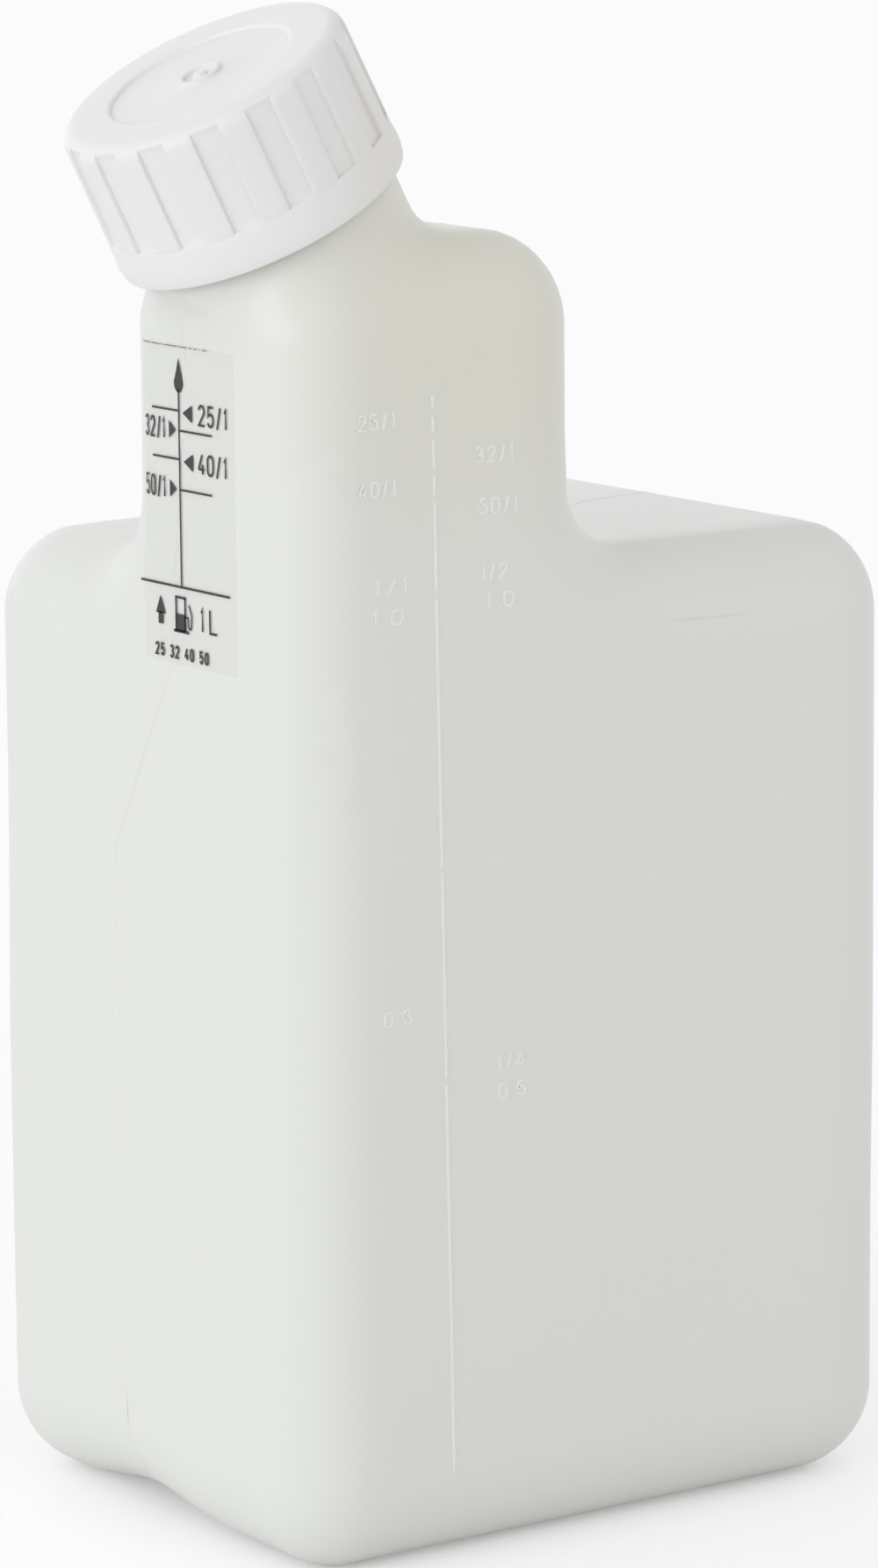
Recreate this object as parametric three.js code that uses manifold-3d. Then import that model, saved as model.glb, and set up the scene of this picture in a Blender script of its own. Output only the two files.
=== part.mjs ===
import * as THREE from 'three';
import { mergeVertices } from 'three/addons/utils/BufferGeometryUtils.js';
import Module from 'manifold-3d';

const wasm = await Module();
wasm.setup();

// Body of the bottle, in mm
const bodyWidth = 101.4;
const bodyDepth = 82.4;
const bodyHeight = 134.8;
const wall = 1.2;
const edgeRadius = 12.2;
const archRise = 2.2;

// How far each rounding departs from the common edge radius
const edgeDrift = { sideLow: 0.6, sideHigh: -0.8, backLow: -1, backHigh: 1.4, top: 0.4, towerTop: 0.6 };

// Measuring tower on the front left corner, flush with both outer faces
const towerWidth = 49.2;
const towerDepth = 44.6;
const towerTop = 178;
const shoulderFillet = 9;

// Leaning neck
const neckLean = 27.4;
const neckFootX = 10.8;
const neckRise = 2.8;
const neckRadius = 16.8;
const neckWall = 2.2;
const neckLength = 17.95;
const neckRoot = 22;
const neckBlend = 2.5;
const neckUnderLean = 41;

// Screw thread
const pitch = 4;
const threadTurns = 1.5;
const threadDepth = 1.1;
const threadGap = 0.55;
const neckThreadStart = 4.2;
const capThreadStart = 6.2;

// Cap
const capWall = 1.6;
const capRoof = 1.5;
const panelCount = 16;
const panelDepth = 0.65;
const panelTurn = -6.9;
const bandHeight = 5.5;
const topDiscRadius = 12.5;

// Liner and label
const linerLap = 0.4;
const linerThickness = 0.75;
const seat = 0.3;
const labelWidth = 22.8;
const labelHeight = 42.2;
const labelDrop = 14.4;
const labelThickness = 0.2;

// Sizes that follow from those above
const neckFootZ = towerTop + neckRise;
const boreRadius = neckRadius - neckWall;
const collarRadius = neckRadius + threadDepth;
const capInside = neckRadius + threadDepth + threadGap;
const capRadius = capInside + capWall;
const capHeight = neckLength + capRoof + linerThickness + 2 * seat;
const linerRadius = neckRadius + linerLap;
const labelBack = towerDepth - edgeRadius * 0.7;
const labelFront = labelBack - labelWidth;
const labelTop = towerTop - labelDrop;
const labelBottom = labelTop - labelHeight;

const lean = THREE.MathUtils.degToRad(neckLean);
const underLean = THREE.MathUtils.degToRad(neckUnderLean);
const neckAxis = new THREE.Vector3(-Math.sin(lean), 0, Math.cos(lean));
const neckSide = new THREE.Vector3(Math.cos(lean), 0, Math.sin(lean));
const neckFoot = new THREE.Vector3(neckFootX, towerDepth / 2, neckFootZ);
const towerMiddle = (towerTop + bodyHeight * 0.4) / 2;
const lipLeft = neckFoot.clone().addScaledVector(neckSide, -collarRadius - 0.1).addScaledVector(neckAxis, -0.4);
const lipUnder = new THREE.Vector3(-Math.cos(underLean), 0, -Math.sin(underLean));
const bodyEye = new THREE.Vector3(towerWidth * 0.6, towerDepth / 2, bodyHeight * 0.72);
const neckEye = neckFoot.clone().addScaledVector(neckAxis, -15);

// Largest of several face distances, with elliptical rounding where they meet
function roundedMax(distances, radii) {
  let sum = 0;
  for (let i = 0; i < distances.length; i += 1) {
    const over = (distances[i] + radii[i]) / radii[i];
    if (over > 0) sum += over * over;
  }
  if (sum === 0) return Math.max(...distances);
  return (Math.sqrt(sum) - 1) * Math.min(...radii);
}

// Smaller of two distances, with a round fillet in the inside corner
function filletedMin(a, b, radius) {
  const near = Math.hypot(Math.max(radius - a, 0), Math.max(radius - b, 0));
  return Math.max(radius, Math.min(a, b)) - near;
}

// Raised arch across the bottom, on the mould's parting line
function archHeight(y) {
  const t = (y - bodyDepth * 0.58) / (bodyDepth * 0.25);
  return Math.abs(t) < 1 ? archRise * Math.cos(t * Math.PI / 2) ** 2 : 0;
}

// Signed distance to the bottle's skin, moved inwards by the inset
function skin(p, inset) {
  const r = edgeRadius - inset;
  const high = THREE.MathUtils.smoothstep(p.z, bodyHeight * 0.2, bodyHeight * 0.8);
  const rx = r + THREE.MathUtils.lerp(edgeDrift.sideLow, edgeDrift.sideHigh, high);
  const ry = r + THREE.MathUtils.lerp(edgeDrift.backLow, edgeDrift.backHigh, high);
  const floor = archHeight(p.y) - p.z + inset;
  const roof = p.z - bodyHeight + inset;
  const upright = Math.max(floor, roof);
  const body = roundedMax([p.x - bodyWidth + inset, p.y - bodyDepth + inset, upright], [rx, ry, r + edgeDrift.top]);
  const tower = roundedMax(
    [p.x - towerWidth + inset, p.y - towerDepth + inset, Math.abs(p.z - towerMiddle) - towerTop + towerMiddle + inset],
    [r + edgeDrift.top, r - edgeDrift.top, r + edgeDrift.towerTop],
  );
  const stepped = filletedMin(body, tower, shoulderFillet + inset);
  const flush = roundedMax([stepped, inset - p.x, inset - p.y], [r, r, r - edgeDrift.top]);
  const local = p.clone().sub(neckFoot);
  const along = local.dot(neckAxis);
  const radial = Math.sqrt(Math.max(local.lengthSq() - along * along, 0));
  const throat = inset > 0 ? boreRadius : collarRadius - inset;
  const under = p.clone().sub(lipLeft).dot(lipUnder) + inset;
  return filletedMin(flush, Math.max(radial - throat, -along - neckRoot, under), neckBlend + inset * 2);
}

// Point on the skin, seen from a point inside the bottle through a target
function onSkin(target, eye, inset) {
  const dir = target.clone().sub(eye).normalize();
  let low = 1;
  while (skin(eye.clone().addScaledVector(dir, low + 1.5), inset) < 0) low += 1.5;
  let high = low + 1.5;
  for (let i = 0; i < 36; i += 1) {
    const mid = (low + high) / 2;
    if (skin(eye.clone().addScaledVector(dir, mid), inset) < 0) low = mid;
    else high = mid;
  }
  return eye.clone().addScaledVector(dir, high);
}

const cornerSteps = 6;
const sideSteps = { front: 7, right: 6, back: 6, left: 7 };

// Quarter turn in even steps, as sines and cosines
function quarter(visit) {
  for (let i = 0; i <= cornerSteps; i += 1) {
    const a = i / cornerSteps * Math.PI / 2;
    visit(Math.sin(a), Math.cos(a));
  }
}

// One ring from the front left corner. The far sides stand at their own height,
// and the edges next to the flush faces turn with the outline of the step.
function ringPoints({ x0 = 0, x1, y0 = 0, y1, far, near, r, out = 1, up = 0 }) {
  const corners = [[], [], [], []];
  quarter((s, c) => corners[0].push(new THREE.Vector3(x0 + r * (1 - c), y0 + r * (1 - s), near)));
  quarter((s, c) => {
    const in1 = r * (1 - s);
    corners[1].push(new THREE.Vector3(x1 - in1 * out, y0 + r * (1 - c), far - in1 * up));
  });
  quarter((s, c) => corners[2].push(new THREE.Vector3(x1 - r * (1 - c), y1 - r * (1 - s), far)));
  quarter((s, c) => {
    const in3 = r * (1 - c);
    corners[3].push(new THREE.Vector3(x0 + r * (1 - s), y1 - in3 * out, far - in3 * up));
  });
  const sides = [sideSteps.front, sideSteps.right, sideSteps.back, sideSteps.left];
  return corners.flatMap((corner, k) => {
    const last = corner[cornerSteps];
    const next = corners[(k + 1) % 4][0];
    const between = [];
    for (let i = 1; i < sides[k]; i += 1) between.push(last.clone().lerp(next, i / sides[k]));
    return [...corner, ...between];
  });
}

// Stations from the middle of the floor up to the foot of the neck
function cageStations(detail) {
  const list = [];
  const steps = Math.round(5 * detail);
  const onFloor = (cut, z, r) => {
    list.push({ x0: cut, x1: bodyWidth - cut, y0: cut, y1: bodyDepth - cut, far: z, near: z, r });
  };
  for (const scale of [0.3, 0.6, 0.85]) onFloor(edgeRadius + (1 - scale) * 30, 0, 4);
  for (let i = 0; i <= steps; i += 1) {
    const a = i / steps * Math.PI / 2;
    onFloor(edgeRadius * (1 - Math.sin(a)), edgeRadius * (1 - Math.cos(a)), 4 + 8 * i / steps);
  }
  const wallTop = bodyHeight - edgeRadius;
  for (const f of [0.3, 0.62]) onFloor(0, edgeRadius + (wallTop - edgeRadius) * f, edgeRadius);
  const shoulder = [];
  for (let i = 0; i <= steps; i += 1) {
    const a = i / steps * Math.PI / 2;
    shoulder.push([edgeRadius * (1 - Math.cos(a)), wallTop + edgeRadius * Math.sin(a), Math.cos(a), Math.sin(a)]);
  }
  const ledge = bodyWidth - towerWidth - shoulderFillet;
  shoulder.push([edgeRadius + (ledge - edgeRadius) * 0.5, bodyHeight, 0, 1]);
  for (let i = 0; i <= steps - 1; i += 1) {
    const a = i / (steps - 1) * Math.PI / 2;
    const cut = ledge + shoulderFillet * Math.sin(a);
    shoulder.push([cut, bodyHeight + shoulderFillet * (1 - Math.cos(a)), Math.sin(a), Math.cos(a)]);
  }
  const lowest = wallTop - 18;
  const highest = bodyHeight + shoulderFillet + 4;
  shoulder.forEach(([cut, z, out, up], k) => {
    const f = cut / (bodyWidth - towerWidth);
    const near = lowest + (highest - lowest) * (k + 1) / shoulder.length;
    const y1 = bodyDepth - (bodyDepth - towerDepth) * f;
    list.push({ x1: bodyWidth - cut, y1, far: z, near, r: edgeRadius * 0.8, out, up });
  });
  for (const f of [0.45, 0.86]) {
    const z = highest + (towerTop - edgeRadius - highest) * f;
    list.push({ x1: towerWidth, y1: towerDepth, far: z, near: z, r: edgeRadius });
  }
  return list;
}

// Circle round the neck whose points follow the columns of the rings below
function neckRing(radius, along) {
  const top = ringPoints({ x1: towerWidth, y1: towerDepth, far: 0, near: 0, r: edgeRadius });
  const centre = neckFoot.clone().addScaledVector(neckAxis, along);
  return top.map(({ x, y }) => {
    const a = Math.atan2((y - towerDepth / 2) / towerDepth, (x - towerWidth / 2) / towerWidth);
    const p = centre.clone().addScaledVector(neckSide, radius * Math.cos(a));
    p.y += radius * Math.sin(a);
    return p;
  });
}

// Closed body from rings that all have the same number of points
function loft(rings) {
  const count = rings[0].length;
  const points = rings.flat();
  const index = [];
  for (let k = 0; k + 1 < rings.length; k += 1) {
    for (let i = 0; i < count; i += 1) {
      const a = k * count + i;
      const b = k * count + (i + 1) % count;
      index.push(a, b, b + count, a, b + count, a + count);
    }
  }
  for (const [k, flip] of [[0, true], [rings.length - 1, false]]) {
    const middle = rings[k].reduce((sum, p) => sum.add(p), new THREE.Vector3()).divideScalar(count);
    points.push(middle);
    const c = points.length - 1;
    for (let i = 0; i < count; i += 1) {
      const a = k * count + i;
      const b = k * count + (i + 1) % count;
      if (flip) index.push(c, b, a);
      else index.push(c, a, b);
    }
  }
  return toSolid(points, index);
}

// Solid from points and triangles, turned so that its faces point outwards
function toSolid(points, index) {
  const vertProperties = new Float32Array(points.flatMap((p) => [p.x, p.y, p.z]));
  const triVerts = new Uint32Array(index);
  const solid = new wasm.Manifold(new wasm.Mesh({ numProp: 3, vertProperties, triVerts }));
  if (solid.volume() > 0) return solid;
  return new wasm.Manifold(new wasm.Mesh({ numProp: 3, vertProperties, triVerts: triVerts.reverse() }));
}

function solidOf(geometry) {
  const plain = geometry.index ? geometry.clone() : geometry;
  plain.deleteAttribute('uv');
  plain.deleteAttribute('normal');
  const merged = mergeVertices(plain, 1e-4);
  return new wasm.Manifold(new wasm.Mesh({
    numProp: 3,
    vertProperties: new Float32Array(merged.attributes.position.array),
    triVerts: new Uint32Array(merged.index.array),
  }));
}

function geometryOf(solid) {
  const mesh = solid.getMesh();
  const geometry = new THREE.BufferGeometry();
  geometry.setAttribute('position', new THREE.BufferAttribute(new Float32Array(mesh.vertProperties), 3));
  geometry.setIndex(new THREE.BufferAttribute(new Uint32Array(mesh.triVerts), 1));
  geometry.computeVertexNormals();
  return geometry;
}

// Rings of the skin from the floor to the foot of the neck
function skinRings(inset, detail, mouthRadius, mouthAlong) {
  const rings = cageStations(detail).map(ringPoints);
  const last = rings[rings.length - 1];
  const mouth = neckRing(mouthRadius, mouthAlong);
  const steps = Math.round(7 * detail);
  for (let k = 1; k < steps; k += 1) {
    const f = k / steps;
    rings.push(last.map((p, i) => p.clone().lerp(mouth[i], f)));
  }
  const body = rings.length - steps;
  const seated = rings.map((ring, k) => ring.map((p) => onSkin(p, k < body ? bodyEye : neckEye, inset)));
  seated.push(mouth);
  return seated;
}

// Screw thread round the Z axis, its root sunk into the wall it stands on
function threadRidge(root, crest, from, turns) {
  const steps = Math.round(turns * 32);
  const rings = [];
  for (let i = 0; i <= steps; i += 1) {
    const a = i / steps * turns * Math.PI * 2;
    const fade = Math.min(1, i / 4 + 0.06, (steps - i) / 4 + 0.06);
    const tip = root + (crest - root) * fade;
    const z = from + pitch * a / (Math.PI * 2);
    const section = [[root, -0.95], [tip, -0.35], [tip, 0.35], [root, 0.95]];
    rings.push(section.map(([r, dz]) => new THREE.Vector3(r * Math.cos(a), r * Math.sin(a), z + dz)));
  }
  return loft(rings);
}

// Puts something made round the Z axis on the neck
function onNeck(geometry) {
  const matrix = new THREE.Matrix4().makeBasis(neckSide, new THREE.Vector3(0, 1, 0), neckAxis);
  matrix.setPosition(neckFoot);
  return geometry.applyMatrix4(matrix);
}

function leaned(solid) {
  return solidOf(onNeck(geometryOf(solid)));
}

function bottle() {
  const outer = skinRings(0, 1, collarRadius, -0.6);
  outer.push(neckRing(collarRadius - 0.5, -0.3));
  outer.push(neckRing(neckRadius + 0.4, -0.3));
  outer.push(neckRing(neckRadius, 0.2));
  outer.push(neckRing(neckRadius, neckLength - 0.5));
  outer.push(neckRing(neckRadius - 0.5, neckLength));
  const inner = skinRings(wall, 0.8, boreRadius, -1);
  inner.push(neckRing(boreRadius, neckLength + 1));
  const thread = leaned(threadRidge(neckRadius - 0.4, neckRadius + threadDepth, neckThreadStart, threadTurns));
  return loft(outer).add(thread).subtract(loft(inner));
}

// Radius of the cap's wall and how deep its panels lie at each height
const capRows = [
  [0, capRadius - 0.3, 0],
  [0.3, capRadius, 0],
  [1.9, capRadius + 0.2, 0],
  [bandHeight - 0.3, capRadius, 0],
  [bandHeight, capRadius, 1],
  [capHeight - 4, capRadius - 0.15, 1],
  [capHeight - 1.5, capRadius - 0.3, 1],
  [capHeight - 1, capRadius - 0.6, 0],
  [capHeight - 0.4, capRadius - 1.2, 0],
  [capHeight, capRadius - 2.1, 0],
  [capHeight, topDiscRadius + 0.3, 0],
  [capHeight - 0.5, topDiscRadius, 0],
];

function capShell() {
  const pitchAngle = Math.PI * 2 / panelCount;
  const columns = [];
  for (let i = 0; i < panelCount; i += 1) {
    for (const [f, deep] of [[0, 0], [0.47, 0], [0.5, 1], [0.97, 1]]) {
      columns.push([(i + f) * pitchAngle + THREE.MathUtils.degToRad(panelTurn), deep]);
    }
  }
  const rings = capRows.map(([z, radius, depth]) => columns.map(([a, deep]) => {
    const r = radius - panelDepth * depth * deep;
    return new THREE.Vector3(r * Math.cos(a), r * Math.sin(a), z);
  }));
  return loft(rings);
}

function lathe(profile, segments) {
  const points = profile.map(([r, z]) => new THREE.Vector2(r, z));
  const geometry = new THREE.LatheGeometry(points, segments);
  return solidOf(geometry.rotateX(Math.PI / 2));
}

function cap() {
  const roof = capHeight - capRoof;
  const inside = lathe([[0, -1], [capInside + 0.3, -1], [capInside + 0.3, 0.3], [capInside, 0.8],
    [capInside, roof - 0.6], [capInside - 0.6, roof], [0, roof]], 64);
  const gate = lathe([[2.1, capHeight - 0.7], [3, capHeight - 0.7], [2.8, capHeight + 0.1],
    [2.4, capHeight + 0.1], [2.1, capHeight - 0.7]], 24);
  const thread = threadRidge(capInside + 0.4, capInside - threadDepth, capThreadStart, threadTurns);
  return leaned(capShell().subtract(inside).add(gate).add(thread));
}

function capLiner() {
  const top = capHeight - capRoof - seat;
  const low = top - linerThickness;
  return leaned(lathe([[0, low], [linerRadius, low], [linerRadius, top], [0, top]], 56));
}

// Where the flush left face stands at a point of the label
function faceX(y, z, inset) {
  let inside = edgeRadius;
  let outside = -edgeRadius;
  for (let i = 0; i < 36; i += 1) {
    const mid = (inside + outside) / 2;
    if (skin(new THREE.Vector3(mid, y, z), inset) < 0) inside = mid;
    else outside = mid;
  }
  return outside;
}

// Clear film on the flush face, its back edge running on to the rounded corner
function scaleLabel() {
  const flatEnd = towerDepth - edgeRadius;
  const rows = [labelFront, flatEnd, (flatEnd + labelBack) / 2, labelBack];
  const levels = [0, 0.15, 0.3, 0.45, 0.6, 1].map((f) => labelBottom + (labelTop - labelBottom) * f);
  const rings = rows.map((y) => {
    const back = levels.map((z) => new THREE.Vector3(faceX(y, z, -seat), y, z));
    const front = levels.map((z) => new THREE.Vector3(faceX(y, z, -seat - labelThickness), y, z));
    return [...back, ...front.reverse()];
  });
  return loft(rings);
}

const group = new THREE.Group();
function addNode(name, solid, color) {
  const material = new THREE.MeshStandardMaterial({ color, roughness: 0.45 });
  const mesh = new THREE.Mesh(geometryOf(solid), material);
  mesh.name = name;
  group.add(mesh);
}

addNode('bottle', bottle(), 0xdedfd6);
addNode('cap', cap(), 0xf0f0f0);
addNode('cap_liner', capLiner(), 0xe8e8e4);
addNode('scale_label', scaleLabel(), 0xd6d8d6);

const box = new THREE.Box3().setFromObject(group);
const shift = box.getCenter(new THREE.Vector3()).negate();
shift.z = -box.min.z;
group.children.forEach((mesh) => mesh.geometry.translate(shift.x, shift.y, shift.z));

export default group;
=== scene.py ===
import math

import bpy
import numpy as np
from mathutils import Matrix, Vector


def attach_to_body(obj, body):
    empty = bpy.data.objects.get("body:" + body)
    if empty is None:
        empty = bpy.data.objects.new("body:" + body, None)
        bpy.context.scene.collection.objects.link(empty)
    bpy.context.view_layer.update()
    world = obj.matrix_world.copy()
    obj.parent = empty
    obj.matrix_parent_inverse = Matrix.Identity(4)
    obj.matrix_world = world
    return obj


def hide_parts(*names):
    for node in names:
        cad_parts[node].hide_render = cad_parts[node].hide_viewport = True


# Sizes in mm, in the bottle's own axes: its front left edge stands at x = 0, y = 0
body = {
    "width": 101.4, "depth": 82.4, "height": 134.8, "edge": 12.2, "flushDrift": -0.4,
    "arch": 2.2, "archMiddle": 0.58, "archHalf": 0.25,
}
tower = {"width": 49.2, "depth": 44.6, "top": 178, "fillet": 9, "drift": (0.4, -0.4, 0.6)}
neck = {
    "lean": math.radians(27.4), "footX": 10.8, "footZ": 180.8, "collar": 17.9, "radius": 16.8,
    "bore": 14.6, "length": 17.95, "blend": 2.5, "root": 22,
    "underLean": math.radians(41), "lipOut": 0.1, "lipDown": 0.4,
}
thread = {
    "pitch": 4, "turns": 1.5, "depth": 1.1, "halfWidth": 0.95, "crestHalf": 0.35, "sunk": 0.2,
    "bottleStart": 4.2, "capStart": 6.2, "turnSteps": 96, "fadeSteps": 12, "fadeFrom": 0.06,
}
cap = {
    "radius": 19.98, "height": 20.72, "inside": 18.45, "roof": 1.5, "disc": 12.5, "shoulder": 2.15,
    "band": 0.17, "draft": 0.012, "draftFrom": 4, "recess": 0.5, "facets": 144,
    "ribs": 16, "firstRib": math.radians(-1.65), "panel": 0.6, "panelLow": 5.45, "panelHigh": 19.95,
}
seam = {
    "halfWidth": 0.26, "rise": 0.11, "faintRise": 0.035, "sunk": 0.1, "spacing": 1.5,
    "towerFrom": 160,
}
label = {
    "front": 13.3, "back": 35.6, "bottom": 121.4, "top": 163.6, "bend": 31,
    "lift": 0.06, "thick": 0.12,
}
# Change of the upright edges' radii from low to high: at the foot, and what is added on the way up
edgeDrift = {"start": 0.2, "span": 0.6, "x": (0.6, -1.4), "y": (-1, 2.4), "z": 0.4}
wall = 1.2
surface = 0.14
mm = 0.001
halvings = 30

bottleCentre = Vector((42.9099, 41.2, 0))
neckAxis = np.array([-math.sin(neck["lean"]), 0, math.cos(neck["lean"])])
neckSide = np.array([math.cos(neck["lean"]), 0, math.sin(neck["lean"])])
neckFoot = np.array([neck["footX"], tower["depth"] / 2, neck["footZ"]])
lipLeft = neckFoot - neckSide * (neck["collar"] + neck["lipOut"]) - neckAxis * neck["lipDown"]
lipUnder = np.array([-math.cos(neck["underLean"]), 0, -math.sin(neck["underLean"])])
# Points inside the bottle from which rays go out to its skin
bodyEye = np.array([tower["width"] * 0.6, tower["depth"] / 2, body["height"] * 0.72])
neckEye = neckFoot - neckAxis * 15

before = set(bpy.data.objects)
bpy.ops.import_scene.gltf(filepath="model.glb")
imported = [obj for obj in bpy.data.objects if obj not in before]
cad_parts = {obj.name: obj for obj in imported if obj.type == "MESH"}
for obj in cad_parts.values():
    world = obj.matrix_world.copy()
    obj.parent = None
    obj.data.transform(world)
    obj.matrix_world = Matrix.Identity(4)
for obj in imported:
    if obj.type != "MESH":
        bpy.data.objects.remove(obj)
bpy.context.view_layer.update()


def makeCamera():
    azimuth, elevation, roll = math.radians(34.6), math.radians(10.3), math.radians(-0.53)
    distance, aside, aim = 790.5, 18.5, 109.2
    level = math.cos(elevation)
    back = Vector((-math.sin(azimuth) * level, -math.cos(azimuth) * level, math.sin(elevation)))
    right = (-back).cross(Vector((0, 0, 1))).normalized()
    up = right.cross(-back)
    rolledRight = right * math.cos(roll) + up * math.sin(roll)
    rolledUp = up * math.cos(roll) - right * math.sin(roll)
    place = right * aside + Vector((0, 0, aim)) + back * distance - bottleCentre
    data = bpy.data.cameras.new("camera")
    data.lens = 141.3
    data.sensor_width = 36
    data.clip_end = 100
    camera = bpy.data.objects.new("camera", data)
    bpy.context.collection.objects.link(camera)
    turn = Matrix((rolledRight, rolledUp, back)).transposed().to_4x4()
    camera.matrix_world = Matrix.Translation(place * mm) @ turn
    bpy.context.scene.camera = camera


makeCamera()
print("camera")


# Form of the bottle

# Largest of several distances, with elliptical rounding where they meet
def roundedMax(distances, radii):
    over = sum(np.maximum((d + r) / r, 0) ** 2 for d, r in zip(distances, radii))
    rounded = (np.sqrt(over) - 1) * np.min(np.broadcast_arrays(*radii), axis=0)
    return np.where(over > 0, rounded, np.max(np.broadcast_arrays(*distances), axis=0))


def filletedMin(a, b, radius):
    near = np.hypot(np.maximum(radius - a, 0), np.maximum(radius - b, 0))
    return np.maximum(radius, np.minimum(a, b)) - near


# Height of the bottom above the table, where the low arch crosses it
def archHeight(y):
    t = (y - body["depth"] * body["archMiddle"]) / (body["depth"] * body["archHalf"])
    return np.where(np.abs(t) < 1, body["arch"] * np.cos(np.clip(t, -1, 1) * math.pi / 2) ** 2, 0)


# Distance from points to the bottle's skin, moved inwards by the inset
def skin(p, inset):
    x, y, z = p[..., 0], p[..., 1], p[..., 2]
    r = body["edge"] - inset
    ramp = np.clip((z / body["height"] - edgeDrift["start"]) / edgeDrift["span"], 0, 1)
    high = ramp * ramp * (3 - 2 * ramp)
    upright = np.maximum(archHeight(y) - z + inset, z - body["height"] + inset)
    (xFoot, xRise), (yFoot, yRise) = edgeDrift["x"], edgeDrift["y"]
    block = roundedMax(
        [x - body["width"] + inset, y - body["depth"] + inset, upright],
        [r + xFoot + xRise * high, r + yFoot + yRise * high, r + edgeDrift["z"]],
    )
    middle = (tower["top"] + body["height"] * 0.4) / 2
    upDown = np.abs(z - middle) - tower["top"] + middle + inset
    column = roundedMax(
        [x - tower["width"] + inset, y - tower["depth"] + inset, upDown],
        [r + drift for drift in tower["drift"]],
    )
    stepped = filletedMin(block, column, tower["fillet"] + inset)
    flush = roundedMax([stepped, inset - x, inset - y], [r, r, r + body["flushDrift"]])
    local = p - neckFoot
    along = local @ neckAxis
    radial = np.sqrt(np.maximum((local ** 2).sum(-1) - along ** 2, 0))
    throat = neck["bore"] if inset > 1 else neck["collar"] - inset
    under = (p - lipLeft) @ lipUnder + inset
    spout = np.maximum(np.maximum(radial - throat, -along - neck["root"]), under)
    return filletedMin(flush, spout, neck["blend"] + inset * 2)


# Points of the skin that are seen from inside the bottle in the direction of the targets
def onSkin(targets, eye, inset):
    toward = targets - eye
    toward = toward / np.linalg.norm(toward, axis=-1, keepdims=True)
    low = np.full(len(targets), 1.0)
    stillInside = np.ones(len(targets), bool)
    while stillInside.any():
        ahead = skin(eye + toward * (low + 1)[:, None], inset) < 0
        stillInside &= ahead
        low += stillInside
    high = low + 1
    for _ in range(halvings):
        mid = (low + high) / 2
        within = skin(eye + toward * mid[:, None], inset) < 0
        low = np.where(within, mid, low)
        high = np.where(within, high, mid)
    return eye + toward * high[:, None]


def skinNormal(points, inset):
    step = 0.01
    steps = step * np.eye(3)
    parts = [skin(points + aside, inset) - skin(points - aside, inset) for aside in steps]
    normal = np.stack(parts, -1)
    return normal / np.linalg.norm(normal, axis=-1, keepdims=True)


cornerSteps = 14
sideSteps = {"front": 16, "right": 12, "back": 12, "left": 16}


# One ring from the front left corner, the edges beside the flush faces turning with the step
def ringPoints(x0=0, x1=0, y0=0, y1=0, far=0, near=0, r=0, out=1, up=0):
    turn = np.linspace(0, math.pi / 2, cornerSteps + 1)
    s, c = np.sin(turn), np.cos(turn)
    level = np.full_like(s, 1.0)
    corners = [
        np.stack([x0 + r * (1 - c), y0 + r * (1 - s), near * level], 1),
        np.stack([x1 - r * (1 - s) * out, y0 + r * (1 - c), far - r * (1 - s) * up], 1),
        np.stack([x1 - r * (1 - c), y1 - r * (1 - s), far * level], 1),
        np.stack([x0 + r * (1 - s), y1 - r * (1 - c) * out, far - r * (1 - c) * up], 1),
    ]
    ring = []
    for k, steps in enumerate(sideSteps.values()):
        last, following = corners[k][-1], corners[(k + 1) % 4][0]
        ring.append(corners[k])
        ring.append(last + (following - last) * (np.arange(1, steps) / steps)[:, None])
    return np.concatenate(ring)


# Rings of the cage from the middle of the bottom, up the walls and over the shoulder to the tower
def cageStations():
    bottomReach, nearDrop, nearRise, towerGap = 28, 18, 4, 2.6
    steps = 14
    stations = []

    def level(cut, z, r):
        x1, y1 = body["width"] - cut, body["depth"] - cut
        stations.append(dict(x0=cut, x1=x1, y0=cut, y1=y1, far=z, near=z, r=r))

    edge, height = body["edge"], body["height"]
    for scale in np.linspace(0.05, 0.95, 9):
        level(edge + (1 - scale) * bottomReach, 0, 1 + 2.6 * scale)
    for a in np.linspace(0, math.pi / 2, steps + 1):
        level(edge * (1 - math.sin(a)), edge * (1 - math.cos(a)), 4 + 8 * a * 2 / math.pi)
    wallTop = height - edge
    for f in np.linspace(0.08, 0.8, 8):
        level(0, edge + (wallTop - edge) * f, edge)
    shoulder = []
    for a in np.linspace(0, math.pi / 2, steps + 1):
        s, c = math.sin(a), math.cos(a)
        shoulder.append((edge * (1 - c), wallTop + edge * s, c, s))
    ledge = body["width"] - tower["width"] - tower["fillet"]
    for f in np.linspace(0, 1, 8)[1:-1]:
        shoulder.append((edge + (ledge - edge) * f, height, 0, 1))
    for a in np.linspace(0, math.pi / 2, steps):
        s, c = math.sin(a), math.cos(a)
        rise = tower["fillet"] * (1 - c)
        shoulder.append((ledge + tower["fillet"] * s, height + rise, s, c))
    lowest, highest = wallTop - nearDrop, height + tower["fillet"] + nearRise
    for k, (cut, z, out, up) in enumerate(shoulder):
        inward = cut / (body["width"] - tower["width"])
        near = lowest + (highest - lowest) * (k + 1) / len(shoulder)
        y1 = body["depth"] - (body["depth"] - tower["depth"]) * inward
        x1 = body["width"] - cut
        stations.append(dict(x1=x1, y1=y1, far=z, near=near, r=edge * 0.8, out=out, up=up))
    for z in np.linspace(highest, tower["top"] - edge - towerGap, 6)[1:]:
        stations.append(dict(x1=tower["width"], y1=tower["depth"], far=z, near=z, r=edge))
    return stations


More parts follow.
